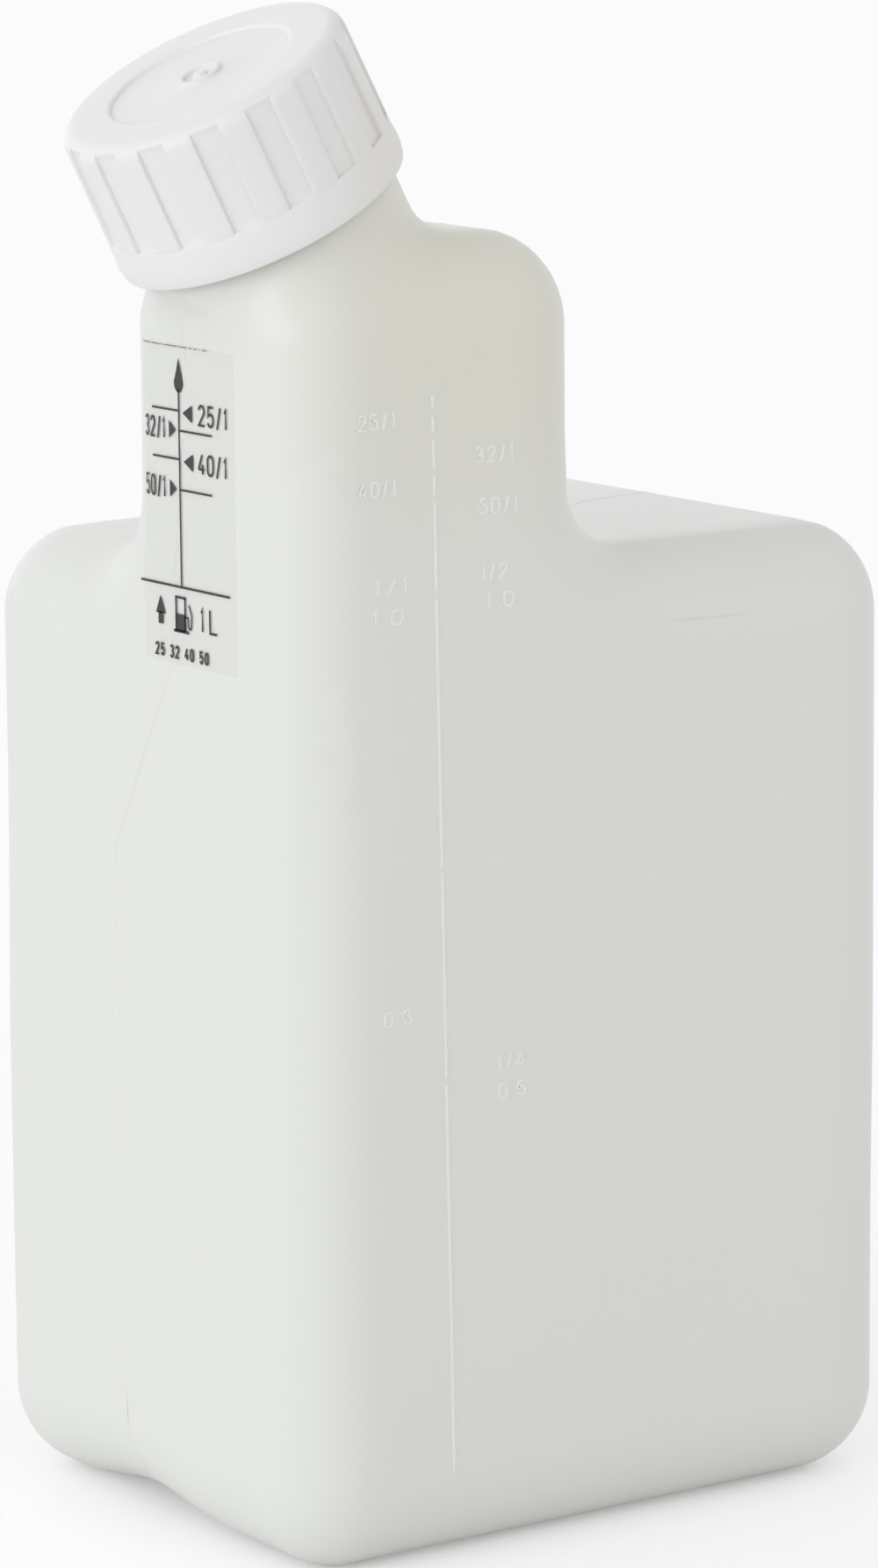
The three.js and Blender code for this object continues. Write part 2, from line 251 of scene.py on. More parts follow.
def neckRing(radius, along):
    top = ringPoints(x1=tower["width"], y1=tower["depth"], r=body["edge"])
    angle = np.arctan2(top[:, 1] / tower["depth"] - 0.5, top[:, 0] / tower["width"] - 0.5)
    ring = neckFoot + neckAxis * along + np.outer(np.cos(angle) * radius, neckSide)
    ring[:, 1] += np.sin(angle) * radius
    return ring


def skinRings(inset, mouthRadius, mouthAlong):
    rings = [ringPoints(**station) for station in cageStations()]
    eyes = [bodyEye] * len(rings)
    last, mouth = rings[-1], neckRing(mouthRadius, mouthAlong)
    for f in np.linspace(0, 1, 24)[1:-1]:
        rings.append(last + (mouth - last) * f)
        eyes.append(neckEye)
    return [onSkin(ring, eye, inset) for ring, eye in zip(rings, eyes)] + [mouth]


# Meshes

# Mesh object in the row's frame, from points in the bottle's own axes
def toMesh(name, points, faces, smoothAngle=None):
    mesh = bpy.data.meshes.new(name)
    placed = (np.asarray(points, float) - np.array(bottleCentre)) * mm
    mesh.from_pydata(placed.tolist(), [], faces)
    mesh.validate()
    mesh.shade_smooth()
    if smoothAngle:
        mesh.set_sharp_from_angle(angle=math.radians(smoothAngle))
    piece = bpy.data.objects.new(name, mesh)
    bpy.context.collection.objects.link(piece)
    return piece


def ringFaces(count, rows, start=0):
    faces = []
    for k in range(rows - 1):
        for i in range(count):
            a = start + k * count + i
            b = start + k * count + (i + 1) % count
            faces.append((a, b, b + count, a + count))
    return faces


# Points and faces of rings joined in order, with both ends closed
def loft(rings, flip=False):
    count = len(rings[0])
    points = np.concatenate([*rings, [rings[0].mean(0)], [rings[-1].mean(0)]])
    faces = ringFaces(count, len(rings))
    low, high = len(points) - 2, len(points) - 1
    top = (len(rings) - 1) * count
    for i in range(count):
        j = (i + 1) % count
        faces.append((low, j, i))
        faces.append((high, top + i, top + j))
    return points, [face[::-1] for face in faces] if flip else faces


# One list of points and faces out of several
def merged(*shells):
    points, faces, start = [], [], 0
    for shellPoints, shellFaces in shells:
        points.append(shellPoints)
        faces += [tuple(i + start for i in face) for face in shellFaces]
        start += len(shellPoints)
    return np.concatenate(points), faces


# Moves points made round the Z axis on to the neck
def onNeck(points):
    points = np.asarray(points, float)
    placed = neckFoot + np.outer(points[:, 0], neckSide) + np.outer(points[:, 2], neckAxis)
    placed[:, 1] += points[:, 1]
    return placed


# Thread that rises from nothing and runs out again, outwards or inwards from its root
def threadRidge(root, crest, start):
    steps = int(thread["turns"] * thread["turnSteps"])
    wide, slim = thread["halfWidth"], thread["crestHalf"]
    fadeSteps, fadeFrom = thread["fadeSteps"], thread["fadeFrom"]
    rings = []
    for i in range(steps + 1):
        a = i / steps * thread["turns"] * 2 * math.pi
        fade = min(1, i / fadeSteps + fadeFrom, (steps - i) / fadeSteps + fadeFrom)
        tip = root + (crest - root) * fade
        z = start + thread["pitch"] * a / (2 * math.pi)
        section = [(root, -wide), (tip, -slim), (tip, slim), (root, wide)]
        rings.append(np.array([(r * math.cos(a), r * math.sin(a), z + dz) for r, dz in section]))
    points, faces = loft(rings, flip=crest > root)
    return onNeck(points), faces


# Points and faces of a closed profile of (radius, height) turned about the neck's axis
def turned(profile, count):
    angles = np.linspace(0, 2 * math.pi, count, endpoint=False)
    across, deep = np.cos(angles), np.sin(angles)
    rings = [np.stack([r * across, r * deep, np.full(count, float(z))], 1) for r, z in profile]
    faces = ringFaces(count, len(rings))
    last = (len(rings) - 1) * count
    faces += [(last + i, last + (i + 1) % count, (i + 1) % count, i) for i in range(count)]
    return onNeck(np.concatenate(rings)), faces


def arc(centreR, centreZ, radius, start, end, steps=6):
    turn = np.radians(np.linspace(start, end, steps + 1))
    return [(centreR + radius * math.cos(a), centreZ + radius * math.sin(a)) for a in turn]


# Bottle as one shell: up the outside, over the collar, neck and rim, and down the inside
def makeBottle():
    collar, radius, bore, length = (neck[key] for key in ["collar", "radius", "bore", "length"])
    rimOut, rimIn = 0.9, 0.5
    outer = skinRings(surface, collar - surface, -0.6)
    finish = [(collar - 0.3, -0.35), (collar - 0.9, -0.3), (radius + 0.5, -0.25),
              (radius + 0.15, -0.1), (radius, 0.3)]
    finish += [(radius, z) for z in np.linspace(1, length - 1, 8)]
    finish += arc(radius - rimOut, length - rimOut, rimOut, 0, 90)
    finish += arc(bore + rimIn, length - rimIn, rimIn, 90, 180)
    finish += [(bore, z) for z in np.linspace(length - 1, 0, 8)]
    rings = outer + [neckRing(r, z) for r, z in finish] + skinRings(wall, bore, -1)[::-1]
    shell = loft(rings)
    ridge = threadRidge(radius - thread["sunk"], radius + thread["depth"], thread["bottleStart"])
    points, faces = merged(shell, ridge)
    return toMesh("bottleSkin", points, faces, 50)


# Radius of the cap's grip at a height, drawn in a little towards the top
def gripRadius(z):
    rounding = cap["shoulder"]
    above = min(max(z - cap["height"] + rounding, 0), rounding)
    drawn = cap["radius"] - cap["draft"] * max(z - cap["draftFrom"], 0)
    return drawn - rounding + math.sqrt(rounding ** 2 - above ** 2)


# Outline of the cap without its ribs, from the outer lip over the top and down inside
def capProfile():
    high, low, top, depth = cap["height"], cap["panelLow"], cap["panelHigh"], cap["panel"]
    radius, inside, shoulder = cap["radius"], cap["inside"], cap["shoulder"]
    lip, axis = 0.3, 0.02
    band = radius + cap["band"]
    outline = arc(radius - lip, lip, lip, -90, 0, 4)
    outline += [(band, 1.4), (band, 2.2), (gripRadius(cap["draftFrom"]), cap["draftFrom"])]
    panelFoot = [(0, -0.12), (0.04, 0), (depth - 0.04, 0.1)]
    outline += [(gripRadius(low) - cut, low + rise) for cut, rise in panelFoot]
    outline += [(gripRadius(z) - depth, z) for z in np.linspace(low + 0.2, top - 1.2, 14)]
    panelEnd = [(0.9, 0.93), (0.6, 0.72), (0.35, 0.42), (0.15, 0.15), (0, 0.04)]
    outline += [(gripRadius(top - below) - depth * share, top - below) for below, share in panelEnd]
    start = math.degrees(math.asin((top + 0.12 - high + shoulder) / shoulder))
    drawnIn = cap["draft"] * (high - cap["draftFrom"])
    outline += arc(radius - drawnIn - shoulder, high - shoulder, shoulder, start, 90, 10)
    disc, sunk = cap["disc"], cap["recess"]
    outline += [(disc + 0.75, high), (disc + 0.3, high - 0.04), (disc + 0.1, high - 0.2),
                (disc, high - 0.45), (disc - 0.3, high - sunk)]
    gate = [(8, -sunk), (3.2, -sunk), (2.95, -0.42), (2.9, -0.02), (2.75, 0.08), (2.45, 0.08),
            (2.3, -0.02), (2.25, -0.42), (2.0, -sunk), (1.1, -sunk), (0.9, -0.1), (0.6, 0.05),
            (axis, 0.08)]
    outline += [(r, high + rise) for r, rise in gate]
    roof = high - cap["roof"]
    outline += [(axis, roof), (inside - 0.8, roof), (inside - 0.2, roof - 0.2),
                (inside, roof - 0.8), (inside, 0.9), (inside + 0.3, 0.4),
                (inside + 0.35, 0.05), (inside + 0.6, 0)]
    return outline


def makeCapShell():
    inside = cap["inside"]
    ridge = threadRidge(inside + thread["sunk"], inside - thread["depth"], thread["capStart"])
    points, faces = merged(turned(capProfile(), cap["facets"]), ridge)
    return toMesh("capShell", points, faces, 40)


# One grip rib at angle zero, its foot sunk into the panel floor and its ends into the bands
def ribMesh():
    halfAngle = math.pi / cap["ribs"] * 0.5
    across = [(-1.03, -0.25), (-1.01, 0.5), (-1, 0.85), (-0.985, 0.97), (-0.96, 1), (-0.5, 1),
              (0, 1), (0.5, 1), (0.96, 1), (0.985, 0.97), (1, 0.85), (1.01, 0.5), (1.03, -0.25)]
    low, high, depth, endDrop = cap["panelLow"], cap["panelHigh"], cap["panel"], 0.08
    upper = [18.9, 19.2, 19.5, high + 0.1, high + 0.3]
    rings = []
    for z in [low - 0.5, *np.linspace(low - 0.2, 18.6, 14), *upper]:
        hidden = endDrop if z < low - 0.3 or z > high + 0.2 else 0
        floor = gripRadius(z) - depth
        ring = []
        for side, lift in across:
            radius = floor + (depth - hidden) * lift
            a = side * halfAngle
            ring.append((radius * math.cos(a), radius * math.sin(a), z))
        rings.append(np.array(ring))
    return loft(rings)


# Grip ribs repeated round the cap
def makeRibs():
    points, faces = ribMesh()
    mesh = bpy.data.meshes.new("rib")
    mesh.from_pydata((points * mm).tolist(), [], faces)
    seed = bpy.data.objects.new("ribSeed", mesh)
    bpy.context.collection.objects.link(seed)
    tree = bpy.data.node_groups.new("ribsRoundCap", "GeometryNodeTree")
    face = tree.interface
    face.new_socket("Geometry", in_out="INPUT", socket_type="NodeSocketGeometry")
    countSocket = face.new_socket("Count", in_out="INPUT", socket_type="NodeSocketInt")
    angleSocket = face.new_socket("First Angle", in_out="INPUT", socket_type="NodeSocketFloat")
    materialSocket = face.new_socket("Material", in_out="INPUT", socket_type="NodeSocketMaterial")
    face.new_socket("Geometry", in_out="OUTPUT", socket_type="NodeSocketGeometry")
    nodes, links = tree.nodes, tree.links
    given = nodes.new("NodeGroupInput")
    line = nodes.new("GeometryNodeMeshLine")
    line.inputs["Offset"].default_value = (0, 0, 0)
    instances = nodes.new("GeometryNodeInstanceOnPoints")
    index = nodes.new("GeometryNodeInputIndex")
    step = nodes.new("ShaderNodeMath")
    step.operation = "DIVIDE"
    step.inputs[0].default_value = 2 * math.pi
    angle = nodes.new("ShaderNodeMath")
    angle.operation = "MULTIPLY"
    shifted = nodes.new("ShaderNodeMath")
    shifted.operation = "ADD"
    turn = nodes.new("ShaderNodeCombineXYZ")
    realize = nodes.new("GeometryNodeRealizeInstances")
    paint = nodes.new("GeometryNodeSetMaterial")
    result = nodes.new("NodeGroupOutput")
    links.new(given.outputs["Count"], line.inputs["Count"])
    links.new(line.outputs["Mesh"], instances.inputs["Points"])
    links.new(given.outputs["Geometry"], instances.inputs["Instance"])
    links.new(given.outputs["Count"], step.inputs[1])
    links.new(index.outputs["Index"], angle.inputs[0])
    links.new(step.outputs["Value"], angle.inputs[1])
    links.new(angle.outputs["Value"], shifted.inputs[0])
    links.new(given.outputs["First Angle"], shifted.inputs[1])
    links.new(shifted.outputs["Value"], turn.inputs["Z"])
    links.new(turn.outputs["Vector"], instances.inputs["Rotation"])
    links.new(instances.outputs["Instances"], realize.inputs["Geometry"])
    links.new(realize.outputs["Geometry"], paint.inputs["Geometry"])
    links.new(given.outputs["Material"], paint.inputs["Material"])
    links.new(paint.outputs["Geometry"], result.inputs["Geometry"])
    modifier = seed.modifiers.new("ribs", "NODES")
    modifier.node_group = tree
    modifier[countSocket.identifier] = cap["ribs"]
    modifier[angleSocket.identifier] = cap["firstRib"]
    modifier[materialSocket.identifier] = materials["cap"]
    evaluated = seed.evaluated_get(bpy.context.evaluated_depsgraph_get())
    made = bpy.data.meshes.new_from_object(evaluated)
    seed.modifiers.clear()
    count = len(made.vertices)
    flat = np.zeros(count * 3)
    made.vertices.foreach_get("co", flat)
    placed = (onNeck(flat.reshape(-1, 3) / mm) - np.array(bottleCentre)) * mm
    made.vertices.foreach_set("co", placed.ravel())
    made.shade_smooth()
    made.set_sharp_from_angle(angle=math.radians(50))
    bpy.data.objects.remove(seed)
    ribs = bpy.data.objects.new("capRibs", made)
    bpy.context.collection.objects.link(ribs)
    return ribs


# Parting line of the mould

# Corners of the parting line, in order round the bottle: left of the neck and right of it
def seamTargets():
    half, slant = body["depth"] * 0.542, 30.0
    top = tower["depth"] / 2
    width, height = body["width"], body["height"]
    towerSide = tower["width"]
    left = [(0, half, 3), (0, half, 94.3), (0, slant, 120.4), (0, 24.4, 168)]
    right = [(40, top, tower["top"]), (towerSide, top, 164), (towerSide, slant - 3, 146),
             (towerSide + 10, slant, height), (78, half, height), (width, half, 118),
             (width, half, 3), (width - 12, half, 0), (12, half, 0), (0, half, 3)]
    return [left, right]


# Fine ridge along the parting line, raised clearly where it slants
def makeSeam():
    width, sunk = seam["halfWidth"], seam["sunk"]
    shells = []
    for corners in seamTargets():
        corners = np.array(corners, float)
        runs = []
        for a, b in zip(corners, corners[1:]):
            steps = max(int(np.linalg.norm(b - a) / seam["spacing"]), 2)
            runs.append(a + (b - a) * (np.arange(steps) / steps)[:, None])
        path = np.concatenate([*runs, corners[-1:]])
        high = path[:, 2:] > seam["towerFrom"]
        points = np.where(high, onSkin(path, neckEye, surface), onSkin(path, bodyEye, surface))
        normal = skinNormal(points, surface)
        along = np.gradient(points, axis=0)
        along /= np.linalg.norm(along, axis=1, keepdims=True)
        side = np.cross(along, normal)
        slanted = (np.abs(along[:, 1]) > 0.1) & (np.abs(along[:, 2]) > 0.1)
        rings = []
        for p, s, n, clear in zip(points, side, normal, slanted):
            rise = seam["rise"] if clear else seam["faintRise"]
            section = [(-width, -sunk), (-width * 0.6, rise * 0.6), (0, rise),
                       (width * 0.6, rise * 0.6), (width, -sunk)]
            rings.append(np.array([p + s * u + n * v for u, v in section]))
        shells.append(loft(rings))
    points, faces = merged(*shells)
    return toMesh("partingSeam", points, faces, 60)


# Marks

# Maps flat points (across, up, out) on to a face of the bottle
def facing(origin, right, up):
    origin, right, up = (np.array(vector, float) for vector in [origin, right, up])
    out = np.cross(right, up)
    return lambda p: origin + p[:, :1] * right + p[:, 1:2] * up + p[:, 2:3] * out


# Flat piece with the given outline, in flat points
def prism(outline, thickness):
    outline = np.array(outline, float)
    area = sum(a[0] * b[1] - b[0] * a[1] for a, b in zip(outline, np.roll(outline, -1, 0)))
    if area < 0:
        outline = outline[::-1]
    count = len(outline)
    bottom = np.column_stack([outline, np.zeros(count)])
    top = np.column_stack([outline, np.full(count, thickness)])
    faces = [tuple(range(count))[::-1], tuple(range(count, 2 * count))]
    faces += [(i, (i + 1) % count, count + (i + 1) % count, count + i) for i in range(count)]
    return np.concatenate([bottom, top]), faces


def stroke(x0, y0, x1, y1, width, thickness):
    run = np.array([x1 - x0, y1 - y0], float)
    side = np.array([-run[1], run[0]]) / np.linalg.norm(run) * width / 2
    a, b = np.array([x0, y0]), np.array([x1, y1])
    return prism([a - side, b - side, b + side, a + side], thickness)


def arcPoints(cx, cy, rx, ry, start, end, steps=10):
    turn = np.radians(np.linspace(start, end, steps + 1))
    return [(cx + rx * math.cos(a), cy + ry * math.sin(a)) for a in turn]


# Strokes of the plain characters, in a unit square
glyphs = {
    "0": [arcPoints(0.5, 0.7, 0.5, 0.3, 0, 180) + arcPoints(0.5, 0.3, 0.5, 0.3, 180, 360)
          + [(1, 0.7)]],
    "1": [[(0.15, 0.8), (0.6, 1), (0.6, 0)]],
    "2": [arcPoints(0.5, 0.72, 0.48, 0.28, 170, -25) + [(0.0, 0.0), (1, 0)]],
    "3": [arcPoints(0.48, 0.76, 0.45, 0.24, 160, -90), arcPoints(0.48, 0.26, 0.5, 0.26, 90, -160)],
    "4": [[(0.66, 1), (0.0, 0.25)], [(-0.02, 0.25), (1, 0.25)], [(0.74, 0.5), (0.74, 0)]],
    "5": [[(0.92, 1), (0.14, 1), (0.08, 0.52)] + arcPoints(0.48, 0.32, 0.5, 0.32, 130, -155)],
    "/": [[(0.08, -0.08), (0.92, 1.05)]],
    "L": [[(0.08, 1), (0.08, 0), (0.9, 0)]],
    ".": [[(0.5, 0), (0.5, 0.08)]],
}
glyphWidth = {"1": 0.62, "/": 0.75, ".": 0.3}


# Characters fitted to a rectangle, as flat points, each further stroke of one a little thicker
def lettering(text, x0, y0, x1, y1, thickness):
    gap, weight, thicker = 0.3, 0.34, 0.12
    widths = [glyphWidth.get(c, 1.0) for c in text]
    unit = (x1 - x0) / (sum(widths) + gap * (len(text) - 1))
    half, tall = weight / 2, y1 - y0 - weight
    shells, left = [], x0
    for character, wide in zip(text, widths):
        across = wide * unit - weight
        for k, line in enumerate(glyphs[character]):
            points = [(left + half + x * across, y0 + half + y * tall) for x, y in line]
            shells.append(ribbon(points, weight, thickness * (1 + thicker * k)))
        left += (wide + gap) * unit
    return merged(*shells)


# Stroke of even width along a line of flat points
def ribbon(points, width, thickness):
    points = np.array(points, float)
    steps = np.diff(points, axis=0)
    unit = steps / np.linalg.norm(steps, axis=1, keepdims=True)
    run = np.concatenate([unit[:1], unit[:-1] + unit[1:], unit[-1:]])
    run /= np.linalg.norm(run, axis=1, keepdims=True)
    stretch = 1 / np.clip(np.concatenate([[1], (unit[:-1] * run[1:-1]).sum(1), [1]]), 0.5, 1)
    side = np.column_stack([-run[:, 1], run[:, 0]]) * width / 2 * stretch[:, None]
    left, right = points + side, points - side
    rings = []
    for a, b in zip(left, right):
        rings.append(np.array([(*a, 0), (*b, 0), (*b, thickness), (*a, thickness)]))
    return loft(rings)


# Drop that stands on its round end
def dropShape(x, bottom, height, halfWidth):
    deep = halfWidth * 1.25
    belly = bottom + deep
    low = arcPoints(x, belly, halfWidth, deep, 180, 360, 16)
    right = []
    for t in np.linspace(0, 1, 14)[1:-1]:
        across = halfWidth * (1 - t) ** 0.9 * (1 - 0.35 * t)
        right.append((x + across, belly + (bottom + height - belly) * t))
    left = [(2 * x - across, z) for across, z in reversed(right)]
    return low + right + [(x, bottom + height)] + left


# Printed marks of the film, as flat points: across is minus the distance from the front
def labelPrint():
    ink, line, arrowHalf, tall = 0.02, -26.45, 1.15, 2.9
    marks = [stroke(line, 131.6, line, 158, 0.3, ink),
             stroke(-36.4, 131.8, -14.8, 131.8, 0.32, ink)]
    ticks = [(-33, line, 155.1), (line, -18.6, 152.5), (-33, line, 148.7), (line, -18.7, 144.7)]
    for x0, x1, z in ticks:
        marks.append(stroke(x0, z, x1, z, 0.28, ink))
    arrows = [(-25.5, -23.3, 154.9), (-27.3, -28.9, 152.5), (-25.4, -23.2, 148.5),
              (-27.3, -28.9, 144.7)]
    for tip, base, z in arrows:
        marks.append(prism([(tip, z), (base, z - arrowHalf), (base, z + arrowHalf)], ink))
    ratios = [("25/1", -21.8, 153.5, 7.1), ("40/1", -22, 147.1, 7.1), ("32/1", -35.2, 151.1, 5.4),
              ("50/1", -35.3, 143.3, 5.4)]
    for text, x0, z, wide in ratios:
        marks.append(lettering(text, x0, z, x0 + wide, z + tall, ink))
    marks.append(prism(dropShape(-26.4, 157.5, 4.5, 1.1), ink))
    marks.append(prism([(-31.7, 130.2), (-32.85, 127.8), (-30.55, 127.8)], ink))
    marks.append(stroke(-31.7, 126.4, -31.7, 128, 1.1, ink))
    marks.append(lettering("1", -22, 126.3, -21.1, 129.7, ink))
    marks.append(lettering("L", -20, 126.3, -17.7, 129.7, ink))
    marks += pumpSign(ink)
    pitch = 3.6
    for k, text in enumerate(["25", "32", "40", "50"]):
        marks.append(lettering(text, -33.2 + k * pitch, 122.1, -30.9 + k * pitch, 123.9, ink))
    return marks


# Petrol pump sign out of plain strokes
def pumpSign(ink):
    left, right, foot, middle, top = -27.9, -25.7, 125.9, 128.2, 130.4
    frameLine, footLine, hoseLine = 0.34, 0.4, 0.26
    over = frameLine / 2
    parts = [
        prism([(left, foot), (right, foot), (right, middle), (left, middle)], ink),
        stroke(left, foot, left, top, frameLine, ink),
        stroke(right, foot, right, top, frameLine, ink),
        stroke(left - over, top, right + over, top, frameLine, ink),
        stroke(left - 0.6, foot, right + 0.8, foot, footLine, ink),
    ]
    hose = [(0, 127.9), (0.75, 127.9), (0.8, 126.6), (1.15, 126.35), (1.5, 126.6), (1.6, 128.3),
            (0.9, 129.6)]
    for (x0, y0), (x1, y1) in zip(hose, hose[1:]):
        parts.append(stroke(right + x0, y0, right + x1, y1, hoseLine, ink))
    return parts


# Where the flush left face stands, moved inwards by the inset
def faceX(y, z, inset):
    reach = 12.0
    inside, outside = np.full(y.shape, reach), np.full(y.shape, -reach)
    for _ in range(halvings):
        mid = (inside + outside) / 2
        within = skin(np.stack([mid, y, z], -1), inset) < 0
        inside, outside = np.where(within, mid, inside), np.where(within, outside, mid)
    return outside


# Lays flat points (across, up, out) on the left face, the printed side out
def wrapOnLeft(points, lift):
    y, z = -points[:, 0], points[:, 1]
    return np.column_stack([faceX(y, z, surface) - lift - points[:, 2], y, z])


def makeLabelFilm():
    flatPart = np.linspace(label["front"], label["bend"], 12)
    bentPart = np.linspace(label["bend"], label["back"], 14)
    across = np.concatenate([flatPart, bentPart[1:]])
    levels = np.linspace(label["bottom"], label["top"], 40)
    rings = []
    for y in across:
        column = np.full(len(levels), y)
        back = faceX(column, levels, surface) - label["lift"]
        front = back - label["thick"]
        side = np.column_stack([back, column, levels])
        face = np.column_stack([front, column, levels])[::-1]
        rings.append(np.concatenate([side, face]))
    points, faces = loft(rings)
    return toMesh("labelFilm", points, faces, 30)


# Painted shade: dark strips along the top edge of the film, broken towards its back end, stand in
# for the shadow under its lifted edge
def makeFilmEdgeShade():
    width, rise, level = 0.14, 0.03, label["top"] - 0.06
    dashes = [(-35.5, -34.6), (-34.4, -33.4), (-32.9, -31.2), (-30.9, -30.3), (-29.7, -26.2),
              (-25.9, -24.1), (-23.6, -22.9), (-22.4, -21.7), (-21.1, -20.9), (-20.3, -19.4)]
    return onFilm("labelEdgeShade", [stroke(x0, level, x1, level, width, rise) for x0, x1 in dashes])


# One mesh out of flat marks, laid on the outside of the film
def onFilm(name, marks):
    points, faces = merged(*marks)
    return toMesh(name, wrapOnLeft(points, label["lift"] + label["thick"]), faces, 30)


def makeLabelPrint():
    return onFilm("labelInk", labelPrint())


# Raised scale of the wide face: a broken line with numbers on both sides
def makeMouldedScale():
    rise, width, halfGap, top, foot, slope = 0.11, 0.42, 0.5, 158.4, 13, 0.0135
    marks = []

    def lineX(z):
        return 22.05 + (top - z) * slope

    ends = [top, 155.6, 152.6, 148, 144.4, 131.8, 95.4, 67, foot]
    for high, low in zip(ends, ends[1:]):
        z1, z0 = high - halfGap, low + halfGap
        marks.append(stroke(lineX(z0), z0, lineX(z1), z1, width, rise))
    rows = [
        ("25/1", 10.4, 153.9, 6, 2.3), ("40/1", 10.4, 145.2, 6, 2.3),
        ("32/1", 28.6, 148.4, 6.4, 2.3), ("50/1", 29.2, 141.6, 6.4, 2.3),
        ("1/1", 12.6, 132.4, 5.6, 2.2), ("1.0", 12.2, 128.4, 5, 2.2),
        ("1/2", 29.4, 133, 4.4, 2.2), ("1.0", 30.2, 129.2, 4.6, 2.2),
        ("0.5", 13.4, 75.3, 4.6, 2.2),
        ("1/4", 31.4, 67.1, 4.6, 2.2), ("0.5", 31.6, 63.3, 4.6, 2.2),
    ]
    for text, x, z, wide, high in rows:
        marks.append(lettering(text, x, z, x + wide, z + high, rise))
    points, faces = merged(*marks)
    place = facing((0, surface + 0.01, 0), (1, 0, 0), (0, 0, 1))
    return toMesh("mouldedScale", place(points), faces, 30)


# Materials

def newMaterial(name):
    material = bpy.data.materials.new(name)
    material.use_nodes = True
    nodes = material.node_tree.nodes
    nodes.clear()
    return material, nodes, material.node_tree.links


def setAll(node, values):
    for key, value in values.items():
        node.inputs[key].default_value = value


# Soft uneven tint shared by the mouldings: lighter and darker clouds on the object's own places
def cloudGroup():
    tree = bpy.data.node_groups.new("softClouds", "ShaderNodeTree")
    face = tree.interface
    face.new_socket("Base", in_out="INPUT", socket_type="NodeSocketColor")
    face.new_socket("Tint", in_out="INPUT", socket_type="NodeSocketColor")
    face.new_socket("Scale", in_out="INPUT", socket_type="NodeSocketFloat")
    face.new_socket("Amount", in_out="INPUT", socket_type="NodeSocketFloat")
    face.new_socket("Color", in_out="OUTPUT", socket_type="NodeSocketColor")
    face.new_socket("Height", in_out="OUTPUT", socket_type="NodeSocketFloat")
    nodes, links = tree.nodes, tree.links
    given, result = nodes.new("NodeGroupInput"), nodes.new("NodeGroupOutput")
    place = nodes.new("ShaderNodeTexCoord")
    noise = nodes.new("ShaderNodeTexNoise")
    setAll(noise, {"Detail": 4.0, "Roughness": 0.5})
    amount = nodes.new("ShaderNodeMath")
    amount.operation = "MULTIPLY"
    mix = nodes.new("ShaderNodeMix")
    mix.data_type = "RGBA"
    links.new(place.outputs["Object"], noise.inputs["Vector"])
    links.new(given.outputs["Scale"], noise.inputs["Scale"])
    links.new(noise.outputs["Fac"], amount.inputs[0])
    links.new(given.outputs["Amount"], amount.inputs[1])
    links.new(amount.outputs["Value"], mix.inputs["Factor"])
    links.new(given.outputs["Base"], mix.inputs["A"])
    links.new(given.outputs["Tint"], mix.inputs["B"])
    links.new(mix.outputs["Result"], result.inputs["Color"])
    links.new(noise.outputs["Fac"], result.inputs["Height"])
    return tree


# Mixes painted shade, a deeper and warmer tint, into a colour round one place of the object
def paintedShadeZone(nodes, links, look, color):
    place = nodes.new("ShaderNodeTexCoord")
    away = nodes.new("ShaderNodeVectorMath")
    away.operation = "DISTANCE"
    away.inputs[1].default_value = look["shadePlace"]
    share = nodes.new("ShaderNodeMapRange")
    share.interpolation_type = "SMOOTHSTEP"
    setAll(share, {"From Min": look["shadeFrom"], "From Max": look["shadeTo"],
                   "To Min": look["shadeAmount"], "To Max": 0.0})
    toned = nodes.new("ShaderNodeMix")
    toned.data_type = "RGBA"
    toned.inputs["B"].default_value = look["deep"]
    links.new(place.outputs["Object"], away.inputs[0])
    links.new(away.outputs["Value"], share.inputs["Value"])
    links.new(share.outputs["Result"], toned.inputs["Factor"])
    links.new(color, toned.inputs["A"])
    return toned.outputs["Result"]


# What both mouldings share: clouded colour with a patch of painted shade, and fine ripples
def mouldedPlastic(name, look):
    material, nodes, links = newMaterial(name)
    cloud = nodes.new("ShaderNodeGroup")
    cloud.node_tree = clouds
    setAll(cloud, {"Base": look["base"], "Tint": look["tint"], "Scale": look["scale"],
                   "Amount": look["amount"]})
    toned = paintedShadeZone(nodes, links, look, cloud.outputs["Color"])
    shine = nodes.new("ShaderNodeBsdfPrincipled")
    shine.inputs["Roughness"].default_value = look["roughness"]
    bump = nodes.new("ShaderNodeBump")
    setAll(bump, {"Strength": look["ripple"], "Distance": look["rippleDepth"]})
    links.new(toned, shine.inputs["Base Color"])
    links.new(cloud.outputs["Height"], bump.inputs["Height"])
    links.new(bump.outputs["Normal"], shine.inputs["Normal"])
    out = nodes.new("ShaderNodeOutputMaterial")
    return material, nodes, links, toned, shine, out


def bottlePlastic():
    # Painted shade: deep darkens and warms the wide face round the top of the tower, below the
    # right of the cap
    look = {
        "base": (0.885, 0.895, 0.85, 1), "tint": (0.84, 0.845, 0.79, 1), "scale": 14.0,
        "amount": 0.35, "deep": (0.862, 0.85, 0.745, 1), "shadePlace": (-0.013, -0.0412, 0.168),
        "shadeFrom": 0.006, "shadeTo": 0.044, "shadeAmount": 0.9, "roughness": 0.34, "ior": 1.5,
        "throughShare": 0.14, "ripple": 0.06, "rippleDepth": 0.002,
    }
    material, nodes, links, toned, shine, out = mouldedPlastic("bottlePlastic", look)
    shine.inputs["IOR"].default_value = look["ior"]
    through = nodes.new("ShaderNodeBsdfTranslucent")
    mix = nodes.new("ShaderNodeMixShader")
    mix.inputs["Fac"].default_value = look["throughShare"]
    links.new(toned, through.inputs["Color"])
    links.new(shine.outputs["BSDF"], mix.inputs[1])
    links.new(through.outputs["BSDF"], mix.inputs[2])
    links.new(mix.outputs["Shader"], out.inputs["Surface"])
    return material


